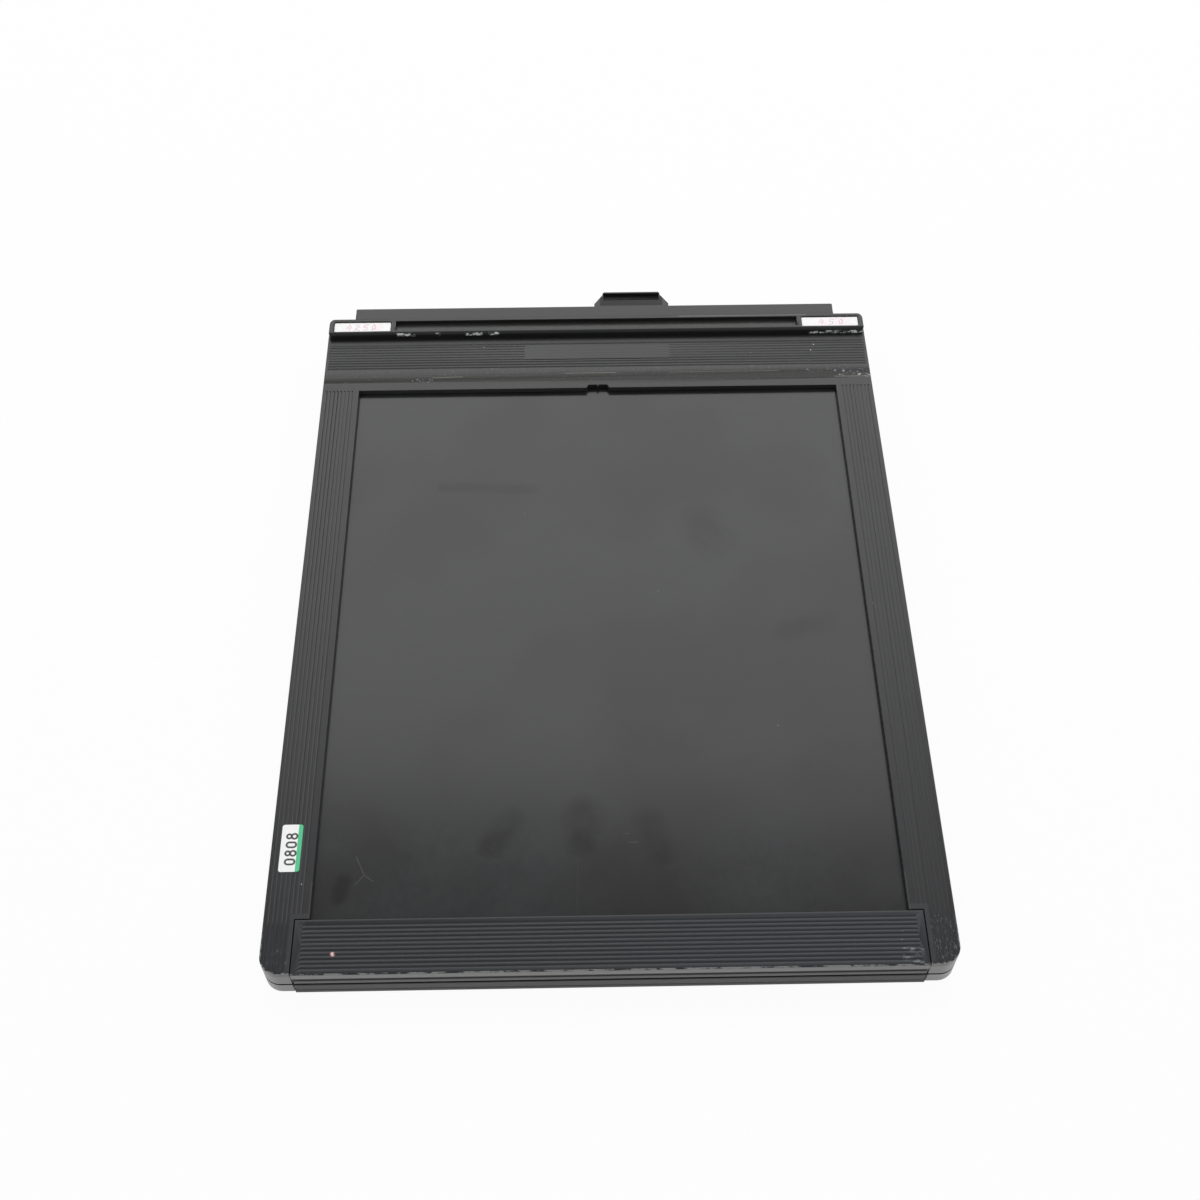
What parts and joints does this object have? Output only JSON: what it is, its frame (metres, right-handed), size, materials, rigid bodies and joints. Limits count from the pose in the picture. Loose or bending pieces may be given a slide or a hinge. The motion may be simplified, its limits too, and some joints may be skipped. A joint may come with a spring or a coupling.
{
  "type": "sheet film holder",
  "caption": "Double-sided sheet-film holder with pull-out dark slides, hinged ribbed loading flaps, felt light traps and white write-on labels.",
  "frame": {"origin": "bottom centre of the bounding box: on the plane of the back head bar's outer face, midway across the rails and midway between the flap end and the tip of the slides' finger tabs", "axes": "+X across the holder, +Y along it from the flap end towards the slide handles, +Z out of the front face"},
  "size_m": [0.235, 0.3194, 0.021],
  "materials": {
    "body": "moulded black-grey plastic, lightly worn, fine ribs",
    "flap": "moulded black-grey plastic with worn edges",
    "slide": "satin dark grey sheet with light scuffs",
    "handle": "moulded black-grey plastic",
    "septum": "black anodised sheet",
    "guide": "black anodised strip",
    "felt": "black plush felt",
    "tape": "black cloth tape",
    "spring": "bronze spring strip",
    "label": "white write-on film, matte",
    "sticker": "white paper sticker with a green edge stripe"
  },
  "bodies": {
    "holder": {"front_frame": "body", "back_frame": "body", "septum": "septum", "flap_hinge_cloth": "tape", "front_left_film_guide": "guide", "front_right_film_guide": "guide", "back_left_film_guide": "guide", "back_right_film_guide": "guide", "front_outer_felt": "felt", "front_inner_felt": "felt", "back_outer_felt": "felt", "back_inner_felt": "felt", "front_trap_spring": "spring", "back_trap_spring": "spring", "front_left_label": "label", "front_right_label": "label", "back_left_label": "label", "back_right_label": "label", "inventory_sticker": "sticker"},
    "front_slide": {"front_dark_slide": "slide", "front_slide_handle": "handle"},
    "back_slide": {"back_dark_slide": "slide", "back_slide_handle": "handle"},
    "front_flap": {"front_flap": "flap", "front_flap_tape": "tape"},
    "back_flap": {"back_flap": "flap", "back_flap_tape": "tape"}
  },
  "joints": [
    {"name": "front_slide_pull", "type": "slide", "parent": "holder", "child": "front_slide", "axis": [0, 1, 0], "range_m": [0, 0.3]},
    {"name": "back_slide_pull", "type": "slide", "parent": "holder", "child": "back_slide", "axis": [0, 1, 0], "range_m": [0, 0.3]},
    {"name": "front_flap_hinge", "type": "hinge", "parent": "holder", "child": "front_flap", "pos_m": [0, -0.1597, 0.01125], "axis": [1, 0, 0], "range_deg": [0, 90]},
    {"name": "back_flap_hinge", "type": "hinge", "parent": "holder", "child": "back_flap", "pos_m": [0, -0.1597, 0.0092], "axis": [-1, 0, 0], "range_deg": [0, 90]}
  ]
}
